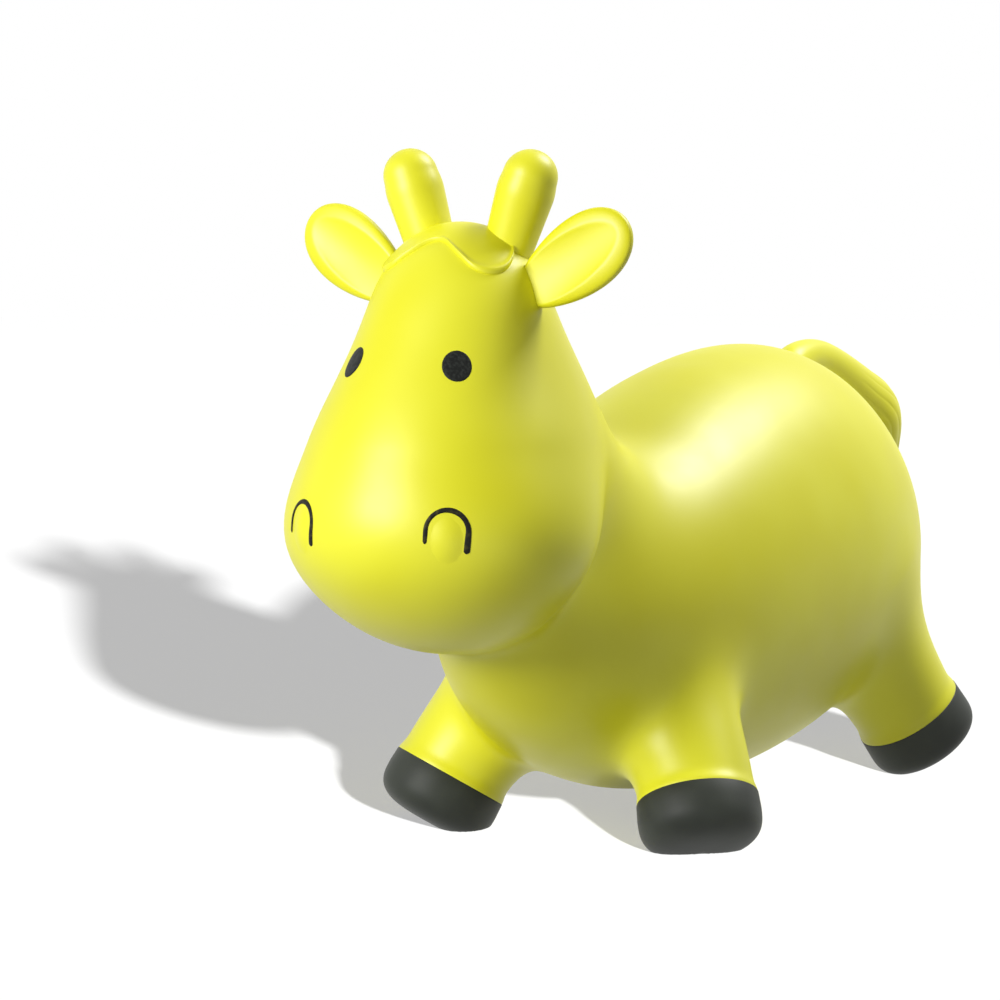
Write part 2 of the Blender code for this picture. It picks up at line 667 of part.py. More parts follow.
def build_tail(group, cutters, skin):
    """A fat tail that arches off the rump on a ball root and hangs behind it."""
    point, normal, *_ = surface_frame(torso_surface, TAIL_PLACE_SHARES)
    root = Vector(point)+Vector(normal)*TAIL_ROOT_RADIUS*TAIL_LIFT_SHARE
    steps = zip(TAIL_ALONG_SHARES, TAIL_UP_SHARES)
    points = [root+Vector((0, TAIL_REACH*along, TAIL_REACH*up)) for along, up in steps]
    radii = [TAIL_RADIUS*share for share in TAIL_RADIUS_SHARES]
    radii[0] = TAIL_ROOT_RADIUS
    tail = add_sausage("tail", points, radii, TAIL_FINENESS, group, material=skin)
    hollow_out(tail, points, radii, TAIL_FINENESS, -Vector(normal), cutters)
    move_origin(tail, root)
    socket = add_socket("tail_socket", points, radii, TAIL_RADIUS*2, TAIL_FLEX_DEGREES, TAIL_FINENESS,
                        cutters)
    return tail, socket


def hoof_height(upright):
    """How high the paint line's middle stands, for a leg whose axis has this upward share.

    The dome reaches as far down as its two half sizes, each times the axis's share along it, summed
    with the power that is dual to the dome's own squareness.
    """
    straight = HOOF_LENGTH-HOOF_DOME
    lean = math.sqrt(1-upright**2)
    dual = HOOF_SQUARENESS/(HOOF_SQUARENESS-1)
    dome = ((HOOF_DOME*upright)**dual+(HOOF_RADIUS*lean)**dual)**(1/dual)
    return straight*upright+dome-HOOF_FLAT


def dome_profile(offset):
    """Points of the hoof's squarish dome from its pole up to its rim, drawn in by an offset."""
    turns = np.linspace(0, math.pi/2, DOME_POINTS)
    across = (HOOF_RADIUS-offset)*np.sin(turns)**(2/HOOF_SQUARENESS)
    down = (HOOF_DOME-offset)*np.clip(np.cos(turns), 0, 1)**(2/HOOF_SQUARENESS)
    points = list(zip(across, HOOF_DOME-HOOF_LENGTH-down))
    return points+[(HOOF_RIM_RADIUS-offset, 0)]


def build_leg(name, side, ahead, slopes, group, cutters, skin, paint, seat):
    """One leg: its hoof, the ankle that the hoof carries, and the leg that the ankle slides into."""
    forward = -1 if ahead else 1
    axis = Vector((-side*slopes[0], -forward*slopes[1], 1)).normalized()
    x = side*LEG_OUT_SHARE*TORSO_HALF_WIDTH
    front_y = TORSO_CENTRE_Y-FRONT_HOOF_AHEAD_SHARE*TORSO_HALF_LENGTH
    rear_y = TORSO_CENTRE_Y+REAR_HOOF_BEHIND_SHARE*TORSO_HALF_LENGTH
    y = front_y if ahead else rear_y
    matrix = axis_frame((x, y, hoof_height(axis.z)), axis)

    profile = dome_profile(HOOF_WALL)+dome_profile(0.0)[::-1]
    hoof = add_turned("hoof_"+name, profile, matrix, group, paint)
    floor_sizes = (HOOF_RADIUS*4, HOOF_RADIUS*4, CUT_MARGIN)
    floor_matrix = Matrix.Translation((x, y, 0))
    floor = add_box("floor_"+name, floor_sizes, (0, 0, -CUT_MARGIN/2), floor_matrix, cutters)
    combine(hoof, hide_cutter(floor), "DIFFERENCE")

    ankle_top = LEG_SQUASH+ANKLE_HIDDEN
    ankle_bore = ANKLE_RADIUS-ANKLE_WALL
    ankle_profile = [(ankle_bore, SEAT_GAP), (ankle_bore, ankle_top), (ANKLE_RADIUS, ankle_top),
                     (ANKLE_RADIUS, SEAT_GAP)]
    add_turned("ankle_"+name, ankle_profile, matrix, group, skin)

    bore = ANKLE_RADIUS+RUN_GAP
    rim = bore+LEG_RIM_WALL
    spans = len(LEG_FLARE_SHARES)-1
    flare = [(rim+LEG_FLARE*share, LEG_SQUASH+LEG_LENGTH*k/spans) for k, share in enumerate(LEG_FLARE_SHARES)]
    top = LEG_SQUASH+LEG_LENGTH
    inside = [(max(bore, radius-LEG_WALL), height) for radius, height in flare]
    leg = add_turned("leg_"+name, inside+flare[::-1], matrix, group, skin)
    combine(leg, seat, "DIFFERENCE")
    opening = add_cylinder("bore_"+name, bore, LEG_SQUASH, top+CUT_MARGIN, matrix, cutters)
    return {"hoof": hoof, "leg": leg, "bore": hide_cutter(opening)}


def build_valve(group, cutters, torso, seat, material):
    """The valve seat in the skin and the stopper in its bore."""
    point, normal, *_ = surface_frame(torso_surface, VALVE_PLACE_SHARES)
    matrix = axis_frame(point, normal)
    bore, tube = VALVE_BORE_RADIUS, VALVE_BORE_RADIUS+VALVE_TUBE_WALL
    inside = -VALVE_SINK-VALVE_TUBE_LENGTH
    tube_profile = [(bore, inside), (bore, VALVE_FLANGE_HEIGHT), (tube, VALVE_FLANGE_HEIGHT), (tube, inside)]
    valve = add_turned("valve_seat", tube_profile, matrix, group, material)
    ring = (bore+tube)/2
    flange_profile = [(ring, -VALVE_SINK), (ring, VALVE_FLANGE_HEIGHT),
                      (VALVE_FLANGE_RADIUS, VALVE_FLANGE_HEIGHT), (VALVE_FLANGE_RADIUS, -VALVE_SINK)]
    flange = add_turned("valve_flange", flange_profile, matrix, cutters)
    combine(flange, seat, "DIFFERENCE")
    combine(valve, hide_cutter(flange), "UNION")
    hole = add_cylinder("valve_hole", tube+SEAT_GAP, -CUT_MARGIN, CUT_MARGIN, matrix, cutters)
    combine(torso, hide_cutter(hole), "DIFFERENCE")

    stem = VALVE_BORE_RADIUS-SEAT_GAP
    cap_low = VALVE_FLANGE_HEIGHT+SEAT_GAP
    cap_high = cap_low+PLUG_CAP_HEIGHT
    stem_low = cap_low-PLUG_STEM_LENGTH
    plug_profile = [(0, stem_low), (stem*PLUG_TIP_RADIUS_SHARE, stem_low),
                    (stem, stem_low+stem*PLUG_TIP_LENGTH_SHARE), (stem, cap_low), (PLUG_CAP_RADIUS, cap_low),
                    (PLUG_CAP_RADIUS, cap_high), (0, cap_high)]
    plug = add_turned("valve_plug", plug_profile[::-1], matrix, group, material)
    tab_centre = (0, 0, cap_high+PLUG_TAB_HEIGHT/2-PLUG_CAP_HEIGHT/2)
    tab_sizes = (PLUG_TAB_LENGTH, PLUG_TAB_THICKNESS, PLUG_TAB_HEIGHT+PLUG_CAP_HEIGHT)
    tab = add_box("plug_tab", tab_sizes, tab_centre, matrix, cutters)
    combine(plug, hide_cutter(tab), "UNION")
    return valve, plug


def build_cow():
    """The whole toy."""
    clear_scene()
    group = new_collection("bouncy_ride_on_cow")
    cutters = new_collection("cutters")
    skin = finish_material("moulded_skin", SKIN_COLOUR, SKIN_ROUGHNESS)
    hoof_paint = finish_material("hoof_paint", HOOF_COLOUR, HOOF_ROUGHNESS)
    ink = finish_material("face_paint", INK_COLOUR, INK_ROUGHNESS)
    valve_material = finish_material("valve_rubber", VALVE_COLOUR, VALVE_ROUGHNESS)

    seat = add_round_body("torso_seat", torso_surface, TORSO_FINENESS, cutters, SEAT_GAP, True)
    hide_cutter(seat)
    legs = []
    for side, hand in ((1, "left"), (-1, "right")):
        front = build_leg("front_"+hand, side, True, FRONT_LEG_SLOPE_SHARES, group, cutters, skin,
                          hoof_paint, seat)
        rear = build_leg("rear_"+hand, side, False, REAR_LEG_SLOPE_SHARES, group, cutters, skin,
                         hoof_paint, seat)
        legs += [front, rear]
    torso = build_torso(group, cutters, skin, legs)
    head = build_head(group, cutters, skin, seat)
    forelock = build_forelock(group, skin)
    build_valve(group, cutters, torso, seat, valve_material)
    tail, tail_socket = build_tail(group, cutters, skin)
    combine(torso, tail_socket, "DIFFERENCE")
    for side, hand in ((1, "left"), (-1, "right")):
        ear, ear_socket = build_ear(side, group, cutters, skin)
        horn, horn_socket = build_horn(side, group, cutters, skin)
        for socket in (ear_socket, horn_socket):
            combine(head, socket, "DIFFERENCE")
            combine(forelock, socket, "DIFFERENCE")
        build_pad("eye_"+hand, head_surface, mirrored(EYE_PLACE_SHARES, side), EYE_HALF_WIDTH,
                  EYE_HALF_HEIGHT, 0.0, PAINT_THICKNESS, group, ink)
        build_pad("nostril_bump_"+hand, head_surface, mirrored(NOSTRIL_PLACE_SHARES, side),
                  NOSTRIL_BUMP_HALF_WIDTH, NOSTRIL_BUMP_HALF_HEIGHT, NOSTRIL_BUMP_DROP,
                  NOSTRIL_BUMP_HEIGHT, group, skin)
        build_arch("nostril_arch_"+hand, NOSTRIL_PLACE_SHARES, side, group, ink)


build_cow()
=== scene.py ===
import json
import math

import bmesh
import bpy
import numpy as np
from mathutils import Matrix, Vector

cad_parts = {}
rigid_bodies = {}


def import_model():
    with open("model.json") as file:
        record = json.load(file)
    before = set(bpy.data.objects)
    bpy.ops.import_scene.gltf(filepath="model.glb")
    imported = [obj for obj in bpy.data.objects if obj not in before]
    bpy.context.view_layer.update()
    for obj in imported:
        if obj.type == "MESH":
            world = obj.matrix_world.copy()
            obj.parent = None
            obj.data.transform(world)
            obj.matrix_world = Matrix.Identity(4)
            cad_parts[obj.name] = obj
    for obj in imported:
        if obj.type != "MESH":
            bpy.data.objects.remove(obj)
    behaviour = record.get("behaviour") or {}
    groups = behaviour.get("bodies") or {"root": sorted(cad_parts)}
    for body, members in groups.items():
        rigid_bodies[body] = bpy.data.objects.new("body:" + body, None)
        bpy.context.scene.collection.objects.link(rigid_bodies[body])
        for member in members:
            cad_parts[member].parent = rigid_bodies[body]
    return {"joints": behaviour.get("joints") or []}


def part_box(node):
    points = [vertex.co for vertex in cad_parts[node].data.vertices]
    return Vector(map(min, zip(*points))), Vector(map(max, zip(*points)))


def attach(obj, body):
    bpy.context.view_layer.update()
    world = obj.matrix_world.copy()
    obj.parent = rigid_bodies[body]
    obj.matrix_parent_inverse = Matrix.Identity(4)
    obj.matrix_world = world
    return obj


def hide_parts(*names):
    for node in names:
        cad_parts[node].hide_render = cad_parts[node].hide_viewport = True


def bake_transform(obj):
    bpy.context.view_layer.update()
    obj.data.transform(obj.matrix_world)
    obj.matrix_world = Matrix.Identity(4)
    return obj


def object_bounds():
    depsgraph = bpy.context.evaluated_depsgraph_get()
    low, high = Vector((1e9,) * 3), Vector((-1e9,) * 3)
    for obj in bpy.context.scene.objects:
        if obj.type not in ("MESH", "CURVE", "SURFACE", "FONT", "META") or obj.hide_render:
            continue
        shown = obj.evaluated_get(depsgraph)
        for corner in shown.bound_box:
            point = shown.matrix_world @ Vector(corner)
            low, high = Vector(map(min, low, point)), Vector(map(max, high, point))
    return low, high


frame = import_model()
cad_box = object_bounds()

# Moulded skin
# One bladder of soft yellow PVC, cast in a hollow mould and blown up hard. Torso, neck, head and legs are
# a single wall without a seam, so their surface is worked out as one smooth union of fat bodies.
TORSO_HALF_LENGTH = 0.2671
TORSO_CENTRE = np.array([0, 0.0420, 0.1553])
TORSO_WIDTHS = 0.1209*np.array([0.832, 0.865, 0.916, 1.0, 0.993])
TORSO_RISES = 0.1527*np.array([0.637, 0.744, 0.908, 1.0, 0.924])
TORSO_DROPS = 0.1371*np.array([0.850, 0.956, 1.0, 0.969, 0.884])
TORSO_SWAYS = 0.012*np.array([-0.99, -0.65, -0.04, 0.375, -0.025])
TORSO_FULLNESS = 2.2
HEAD_HALF_HEIGHT = 0.1282
HEAD_CENTRE = np.array([0, -0.25715, 0.2660])
HEAD_WIDTHS = 0.1159*np.array([1.0, 0.942, 0.724, 0.586, 0.714])
HEAD_FACES = 0.1041*np.array([1.0, 0.977, 0.849, 0.679, 0.629])
HEAD_BACKS = 0.0961*np.array([0.990, 1.0, 0.975, 0.869, 0.752])
HEAD_LEANS = 0.0122*np.array([-0.32, -0.844, 0.0, 0.63, 1.0])
NECK_RADIUS = 0.0575
NECK_HALF_LENGTH = 0.1131
NECK_CENTRE = np.array([0, -0.1599, 0.2300])
NECK_TILT = math.radians(45.4)
LEG_WAIST = 0.0367
LEG_LIP = 0.0016
LEG_LIP_LENGTH = 0.0050
LEG_SWELL = 0.0120
LEG_GROWTH = 1.5
LEG_REACH = 0.1100
LEG_BELOW = 0.0100
ANKLE_MIDDLE = 0.01715
RIM_RISES = {"front": -0.0040, "rear": 0.0080}
LEG_BOWS = {"front": 0.0250, "rear": -0.0100}
JAW_BLEND = 0.060
NECK_BLEND = 0.062
LEG_BLEND = 0.032
SKIN_STEP = 0.0050
SKIN_SIDE_ROOM = 0.010
SKIN_END_ROOM = 0.020
SKIN_FLOOR_ROOM = 0.030
BLOCK = 4
SLOPE_STEP = 0.0001
SLEEVE_LENGTH = 0.042
SLEEVE_FIRM_LENGTH = 0.0105
SLEEVE_LAP = 0.0020
SLEEVE_TUCK = 0.0030
SLEEVE_RINGS = 30
SLEEVE_SPINS = 96
SLEEVE_ROUNDS = 20
SLEEVE_ROOM = 0.120


def stations(place, *rows):
    """Each row's values at evenly spaced stations over -1 to 1, with one cubic between them."""
    values = np.array(rows)
    spans = values.shape[1]-1
    along = (np.clip(place, -1, 1)+1)/2*spans
    first = np.clip(along.astype(int), 0, spans-1)
    part = along-first
    before, after = 2*values[:, :1]-values[:, 1:2], 2*values[:, -1:]-values[:, -2:-1]
    ends = np.concatenate([before, values, after], axis=1)
    square, cube = part**2, part**3
    shares = [2*square-part-cube, 2-5*square+3*cube, part+4*square-3*cube, cube-square]
    return sum(ends[:, first+k]*share/2 for k, share in enumerate(shares))


def fat_body(across, half_width, up, half_height, share, half_length, fullness=2.0):
    """Distance to a fat body, near its surface.

    The root of the summed squares of a point's shares of the half sizes is one on the surface; less one,
    and over its own slope, it is the distance.
    """
    wide, high, long = across/half_width, up/half_height, np.abs(share)
    ending = long**fullness
    reach = np.sqrt(wide**2+high**2+ending)
    lengthwise = fullness/2*ending/np.maximum(long, 1e-6)/half_length
    slope = np.sqrt((wide/half_width)**2+(high/half_height)**2+lengthwise**2)/np.maximum(reach, 1e-6)
    return (reach-1)/np.maximum(slope, 1)


def torso_distance(points):
    """The torso: a barrel along Y, higher and wider towards the rump."""
    share = (points[:, 1]-TORSO_CENTRE[1])/TORSO_HALF_LENGTH
    width, rise, drop, sway = stations(share, TORSO_WIDTHS, TORSO_RISES, TORSO_DROPS, TORSO_SWAYS)
    up = points[:, 2]-TORSO_CENTRE[2]-sway
    height = np.where(up > 0, rise, drop)
    return fat_body(points[:, 0], width, up, height, share, TORSO_HALF_LENGTH, TORSO_FULLNESS)


def head_distance(points):
    """The head: an upright pear, wide at the jaw and narrow at the brow."""
    share = (points[:, 2]-HEAD_CENTRE[2])/HEAD_HALF_HEIGHT
    width, face, back, lean = stations(share, HEAD_WIDTHS, HEAD_FACES, HEAD_BACKS, HEAD_LEANS)
    depth = points[:, 1]-HEAD_CENTRE[1]-lean
    return fat_body(points[:, 0], width, depth, np.where(depth < 0, face, back), share, HEAD_HALF_HEIGHT)


def neck_distance(points):
    """The neck: a plain long ellipsoid that leans back from the poll to the withers."""
    down = np.array([0, math.sin(NECK_TILT), -math.cos(NECK_TILT)])
    offset = points-NECK_CENTRE
    along = offset @ down
    side = np.sqrt(np.maximum((offset**2).sum(axis=1)-along**2, 0))
    return fat_body(side, NECK_RADIUS, 0, NECK_RADIUS, along/NECK_HALF_LENGTH, NECK_HALF_LENGTH)


def leg_distance(points, leg):
    """A leg: a round bar about its axis, with a lip at the hoof and swelling towards the body.

    The bar also bows in towards the toy's middle, or out where the bow is less than zero. Both the bow and
    the swelling grow with the height above the hoof to the power LEG_GROWTH.
    """
    offset = points-leg["rim"]
    bow = leg["bow"]*np.clip(offset @ leg["axis"]/LEG_REACH, 0, 1)**LEG_GROWTH
    offset = offset+bow[:, None]*[1.0, 0, 0]
    along = offset @ leg["axis"]
    held = np.clip(along, -LEG_BELOW, LEG_REACH)
    side = np.sqrt(np.maximum((offset**2).sum(axis=1)-along**2, 0)+(along-held)**2)
    lip = LEG_LIP*np.exp(-(held/LEG_LIP_LENGTH)**2)
    return side-LEG_WAIST-lip-LEG_SWELL*np.clip(held/LEG_REACH, 0, 1)**LEG_GROWTH


def smooth_union(a, b, blend):
    """The nearer of two distances, less a cubic fillet where they differ by under the blend."""
    close = np.maximum(blend-np.abs(a-b), 0)/blend
    return np.minimum(a, b)-close**3*blend/6


def skin_distance(points):
    """Distance to the whole skin; both sides are alike, so the left legs stand for the right ones."""
    head = smooth_union(head_distance(points), neck_distance(points), JAW_BLEND)
    body = smooth_union(head, torso_distance(points), NECK_BLEND)
    folded = points.copy()
    folded[:, 0] = np.abs(folded[:, 0])
    front, rear = leg_distance(folded, legs["front_left"]), leg_distance(folded, legs["rear_left"])
    return smooth_union(body, np.minimum(front, rear), LEG_BLEND)


def slope_of(distance, points):
    """The gradient of a distance at points, by central differences."""
    steps = np.eye(3)*SLOPE_STEP
    sides = [(distance(points+step)-distance(points-step))/(2*SLOPE_STEP) for step in steps]
    return np.stack(sides, axis=1)


def unit(vectors):
    """Vectors made one long."""
    vectors = np.asarray(vectors, dtype=float)
    return vectors/np.linalg.norm(vectors, axis=-1, keepdims=True)


def onto(distance, points, rounds=1):
    """Points moved onto a distance's zero level: each step is the distance over the slope, along it."""
    steps = np.eye(3)*SLOPE_STEP
    for _ in range(rounds):
        here = distance(points)
        slope = np.stack([(distance(points+step)-here)/SLOPE_STEP for step in steps], axis=1)
        points = points-(here/np.maximum((slope**2).sum(axis=1), 1e-6))[:, None]*slope
    return points


def skin_inside(low, high, step):
    """A grid of nodes over a box, and which of them lie inside the skin.

    Only nodes whose block of nodes comes near the skin are worked out one by one.
    """
    counts = [math.ceil((b-a)/step/BLOCK)*BLOCK for a, b in zip(low, high)]
    axes = [a+step*np.arange(count) for a, count in zip(low, counts)]
    nodes = np.stack(np.meshgrid(*axes, indexing="ij"), axis=-1)
    middles = nodes[::BLOCK, ::BLOCK, ::BLOCK]+step*(BLOCK-1)/2
    rough = skin_distance(middles.reshape(-1, 3)).reshape(middles.shape[:3])
    for axis in range(3):
        rough = rough.repeat(BLOCK, axis)
    inside = rough < 0
    near = np.abs(rough) < step*(BLOCK+1)
    inside[near] = skin_distance(nodes[near]) < 0
    return nodes, inside


def skin_net(low, high, step):
    """The skin as a net of four-sided faces.

    A box of cubes fills the space. Each cube that the skin crosses gives one point, and each cube edge
    that it crosses gives one face on the four cubes round it. The points then settle onto the skin.
    """
    nodes, inside = skin_inside(low, high, step)
    cells = tuple(size-1 for size in inside.shape)
    corners = np.zeros(cells, int)
    for shift in np.ndindex(2, 2, 2):
        corners += inside[tuple(slice(s, s+n) for s, n in zip(shift, cells))]
    crossed = (corners > 0) & (corners < 8)
    index = np.full(cells, -1)
    index[crossed] = np.arange(crossed.sum())
    points = nodes[:-1, :-1, :-1][crossed]+step/2
    faces = []
    for axis in range(3):
        first = np.take(inside, range(inside.shape[axis]-1), axis)
        second = np.take(inside, range(1, inside.shape[axis]), axis)
        edges = np.argwhere(first != second)
        leaving = first[tuple(edges.T)]
        one, two = np.eye(3, dtype=int)[[(axis+1) % 3, (axis+2) % 3]]
        quads = np.stack([index[tuple((edges-shift).T)] for shift in (one+two, two, 0*one, one)], axis=1)
        quads[~leaving] = quads[~leaving][:, ::-1]
        faces.append(quads)
    faces = np.concatenate(faces)
    pairs = np.concatenate([faces[:, [k, (k+1) % 4]] for k in range(4)])
    count = np.bincount(pairs[:, 0], minlength=len(points))[:, None]
    points = onto(skin_distance, points)
    for rounds in (1, 1, 1, 2):
        drawn = [np.bincount(pairs[:, 0], points[pairs[:, 1], k], len(points)) for k in range(3)]
        points = onto(skin_distance, np.stack(drawn, axis=1)/count, rounds)
    return points, faces


def add_piece(name, points, faces):
    """A smooth mesh object from arrays of points and faces."""
    mesh = bpy.data.meshes.new(name)
    mesh.from_pydata(points.tolist(), [], faces.tolist())
    mesh.shade_smooth()
    piece = bpy.data.objects.new(name, mesh)
    bpy.context.scene.collection.objects.link(piece)
    return piece


def add_rings(name, *grids):
    """A smooth piece from grids of rings of points; rings that shrink to a point close its ends."""
    points, faces, start = [], [], 0
    for grid in grids:
        index = start+np.arange(grid.shape[0]*grid.shape[1]).reshape(grid.shape[:2])
        beside = np.roll(index, -1, axis=1)
        faces.append(np.stack([index[:-1], beside[:-1], beside[1:], index[1:]], axis=-1).reshape(-1, 4))
        points.append(grid.reshape(-1, 3))
        start += index.size
    piece = add_piece(name, np.concatenate(points), np.concatenate(faces))
    shell = bmesh.new()
    shell.from_mesh(piece.data)
    bmesh.ops.remove_doubles(shell, verts=shell.verts, dist=0.000001)
    bmesh.ops.recalc_face_normals(shell, faces=shell.faces)
    shell.to_mesh(piece.data)
    shell.free()
    return piece


def shade_by(piece, distance):
    """Give a piece the exact normals of the surface that it lies on, so that no seam shows in gloss."""
    points = np.empty(len(piece.data.vertices)*3, np.float32)
    piece.data.vertices.foreach_get("co", points)
    normals = unit(slope_of(distance, points.reshape(-1, 3).astype(float)))
    piece.data.normals_split_custom_set_from_vertices(normals.tolist())


def leg_from(joint):
    """The corner that a leg stands at, and its end of the toy, rim, bow, axis and hoof from its joint."""
    corner = joint["name"].removeprefix("leg_squash_")
    end = corner.split("_")[0]
    axis = unit(joint["axis"])
    low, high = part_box("ankle_"+corner)
    rim = (np.array(low)+np.array(high))/2+axis*(RIM_RISES[end]-ANKLE_MIDDLE)
    return corner, {"end": end, "rim": rim, "bow": LEG_BOWS[end], "axis": axis, "hoof": joint["child"]}


def sleeve_rings(leg):
    """Rings of points down a leg's soft skin, each where rays in a plane meet the skin.

    The planes turn evenly from square to the leg, just inside the hoof, to the plane of the skin's cut.
    """
    share = np.linspace(0, 1, SLEEVE_RINGS)[:, None]
    low = leg["rim"]-leg["axis"]*SLEEVE_TUCK
    middles = low+(leg["root"]+leg["inward"]*SLEEVE_LAP-low)*share
    facings = unit(leg["axis"]*(1-share)+leg["inward"]*share)
    side = unit(np.cross(facings, [0, 1, 0]))
    over = np.cross(facings, side)
    spin = np.linspace(0, 2*math.pi, SLEEVE_SPINS, endpoint=False)[None, :, None]
    rays = side[:, None]*np.cos(spin)+over[:, None]*np.sin(spin)
    points = middles[:, None]+rays*LEG_WAIST
    for _ in range(SLEEVE_ROUNDS):
        points = points-rays*skin_distance(points.reshape(-1, 3)).reshape(rays.shape[:2])[..., None]
    return onto(skin_distance, points.reshape(-1, 3), 2).reshape(rays.shape)


legs = dict(leg_from(joint) for joint in frame["joints"] if joint["name"].startswith("leg_squash_"))
for leg in legs.values():
    into_torso = -unit(slope_of(torso_distance, leg["rim"][None])[0])
    leg["inward"] = unit(leg["axis"]+into_torso)
    leg["root"] = leg["rim"]+leg["inward"]*SLEEVE_LENGTH

head_top = HEAD_CENTRE[2]+HEAD_HALF_HEIGHT
skin_low = np.array([cad_box[0][0]-SKIN_SIDE_ROOM, cad_box[0][1]-SKIN_END_ROOM, -SKIN_FLOOR_ROOM])
skin_high = np.array([cad_box[1][0]+SKIN_SIDE_ROOM, cad_box[1][1]-SKIN_END_ROOM, head_top+SKIN_END_ROOM])
skin = add_piece("skin", *skin_net(skin_low, skin_high, SKIN_STEP))
shell = bmesh.new()
shell.from_mesh(skin.data)
for leg in legs.values():
    rim = Vector(leg["rim"])
    faces = [face for face in shell.faces if (face.calc_center_median()-rim).length < SLEEVE_ROOM]
    edges = {edge for face in faces for edge in face.edges}
    corners = {corner for face in faces for corner in face.verts}
    bmesh.ops.bisect_plane(shell, geom=[*faces, *edges, *corners], plane_co=leg["root"],
                           plane_no=leg["inward"], clear_inner=True)
shell.to_mesh(skin.data)
shell.free()
shade_by(skin, skin_distance)
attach(skin, "skin")
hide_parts("torso_skin", "head_skin", *("leg_"+corner for corner in legs))


class Value:
    """A socket in a material; arithmetic with numbers and other values adds the nodes for it."""

    def __init__(self, tree, socket=None):
        self.tree = tree
        self.socket = socket

    def node(self, kind, settings, inputs, output=0):
        """The output of a new node, with its settings set first and then its inputs."""
        made = self.tree.nodes.new(kind)
        for name, value in settings.items():
            setattr(made, name, value)
        for name, value in inputs.items():
            if isinstance(value, Value):
                self.tree.links.new(value.socket, made.inputs[name])
            else:
                made.inputs[name].default_value = value
        return Value(self.tree, made.outputs[output])

    def maths(self, operation, *values):
        return self.node("ShaderNodeMath", {"operation": operation}, dict(enumerate(values)))

    def __add__(self, other):
        return self.maths("ADD", self, other)

    def __radd__(self, other):
        return self.maths("ADD", other, self)

    def __mul__(self, other):
        return self.maths("MULTIPLY", self, other)

    def __rmul__(self, other):
        return self.maths("MULTIPLY", other, self)

    def step(self, low, high):
        """Zero at low, one at high and an S-shaped step between."""
        settings = {"interpolation_type": "SMOOTHSTEP"}
        return self.node("ShaderNodeMapRange", settings, {"Value": self, "From Min": low, "From Max": high})

    def colours(self, low, high):
        """A colour from low where this is zero to high where it is one."""
        return self.node("ShaderNodeMix", {"data_type": "RGBA"}, {0: self, 6: low, 7: high}, 2)

    def cloud(self, scale):
        """Noise over places in metres."""
        return self.node("ShaderNodeTexNoise", {}, {"Vector": self, "Scale": scale, "Detail": 2.0})

    def bump(self, distance):
        """A normal from this as a share of a height, the distance in metres."""
        return self.node("ShaderNodeBump", {}, {"Strength": 1.0, "Distance": distance, "Height": self})

    def into(self, socket):
        """Link this value to a shader's socket."""
        self.tree.links.new(self.socket, socket)


def new_material(name, roughness):
    """A material, its object coordinates as a value, and its shader's sockets."""
    material = bpy.data.materials.new(name)
    material.use_nodes = True
    sockets = material.node_tree.nodes["Principled BSDF"].inputs
    sockets["Roughness"].default_value = roughness
    place = Value(material.node_tree).node("ShaderNodeTexCoord", {}, {}, "Object")
    return material, place, sockets


SKIN_BRIGHT = (0.830, 0.815, 0.024, 1)
SKIN_DEEP = (0.780, 0.752, 0.004, 1)
SKIN_SPECULAR = 0.60
SKIN_PEEL = 0.00002
skin_material, place, sockets = new_material("yellow_skin", 0.38)
sockets["Specular IOR Level"].default_value = SKIN_SPECULAR
place.cloud(9).step(0.35, 0.65).colours(SKIN_DEEP, SKIN_BRIGHT).into(sockets["Base Color"])
(0.38+0.10*place.cloud(40)).into(sockets["Roughness"])
place.cloud(700).bump(SKIN_PEEL).into(sockets["Normal"])
skin.data.materials.append(skin_material)

for corner, leg in legs.items():
    sleeve = add_rings("sleeve_"+corner, sleeve_rings(leg))
    shade_by(sleeve, skin_distance)
    sleeve.data.materials.append(skin_material)
    firm = leg["rim"]+leg["inward"]*SLEEVE_FIRM_LENGTH
    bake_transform(sleeve)
    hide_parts("ankle_"+corner)

# Hooves
# The feet are part of the same casting, squarish domes sprayed matt charcoal up to a masked line with a
# fine edge of paint. Their soles are worn flat where the toy stands.
HOOF_RADIUS = 0.0391
HOOF_RIM_RADIUS = 0.0386
HOOF_DEPTHS = {"front": 0.0335, "rear": 0.0355}
HOOF_DOMES = {"front": 0.0240, "rear": 0.0200}
HOOF_SQUARENESS = {"front": 3.2, "rear": 3.0}
HOOF_EDGE = 0.0006
HOOF_RINGS = 40
HOOF_SPINS = 96
HOOF_DARK = (0.016, 0.019, 0.014, 1)
HOOF_PALE = (0.034, 0.039, 0.030, 1)
HOOF_SPECULAR = 0.30


def turned_rings(profile, origin, axis, spins):
    """Rings of a turned shape: each point of its profile, a radius and a height, spun about the axis."""
    axis = unit(axis)
    side = unit(np.cross([0, 1, 0], axis))
    over = np.cross(axis, side)
    spin = np.linspace(0, 2*math.pi, spins, endpoint=False)[:, None]
    round_axis = side*np.cos(spin)+over*np.sin(spin)
    radius, height = np.array(profile).T
    return origin+radius[:, None, None]*round_axis+height[:, None, None]*axis


hoof_material, place, sockets = new_material("charcoal_hoof_paint", 0.55)
sockets["Specular IOR Level"].default_value = HOOF_SPECULAR
place.cloud(25).step(0.3, 0.7).colours(HOOF_DARK, HOOF_PALE).into(sockets["Base Color"])
place.cloud(900).bump(0.00005).into(sockets["Normal"])

